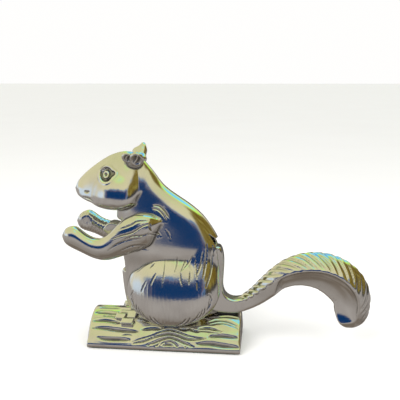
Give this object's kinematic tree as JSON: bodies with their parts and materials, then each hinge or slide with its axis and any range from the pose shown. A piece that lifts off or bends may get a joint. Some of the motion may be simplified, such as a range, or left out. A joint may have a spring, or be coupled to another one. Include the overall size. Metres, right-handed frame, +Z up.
{
  "type": "nutcracker",
  "caption": "Polished cast-metal squirrel on a half-log base whose arched tail is the cracking lever, hinged in a slot through the body.",
  "frame": {"origin": "middle of the underside of the base felt, on the table", "axes": "+X from the squirrel's nose to its tail, +Y across its width towards its left-hand far flank, +Z up"},
  "size_m": [0.2464, 0.056, 0.1615],
  "materials": {
    "polished_casting": "mirror polished casting with darker engraved lines",
    "steel_hardware": "zinc plated, turned",
    "bronze_washer": "satin",
    "black_rubber": "matt",
    "green_felt": "short felt"
  },
  "bodies": {
    "squirrel": {"squirrel_body": "polished_casting", "log_base": "polished_casting", "base_felt": "green_felt", "lever_rest_pad": "black_rubber", "pivot_pin": "steel_hardware", "pivot_washer_near": "bronze_washer", "pivot_washer_far": "bronze_washer", "base_screw_front": "steel_hardware", "base_screw_rear": "steel_hardware", "spring_washer_front": "steel_hardware", "spring_washer_rear": "steel_hardware"},
    "lever": {"tail_lever": "polished_casting"}
  },
  "joints": [
    {"name": "tail_hinge", "type": "hinge", "parent": "squirrel", "child": "lever", "pos_m": [0.01, 0, 0.06], "axis": [0, -1, 0], "range_deg": [0, 22]}
  ]
}
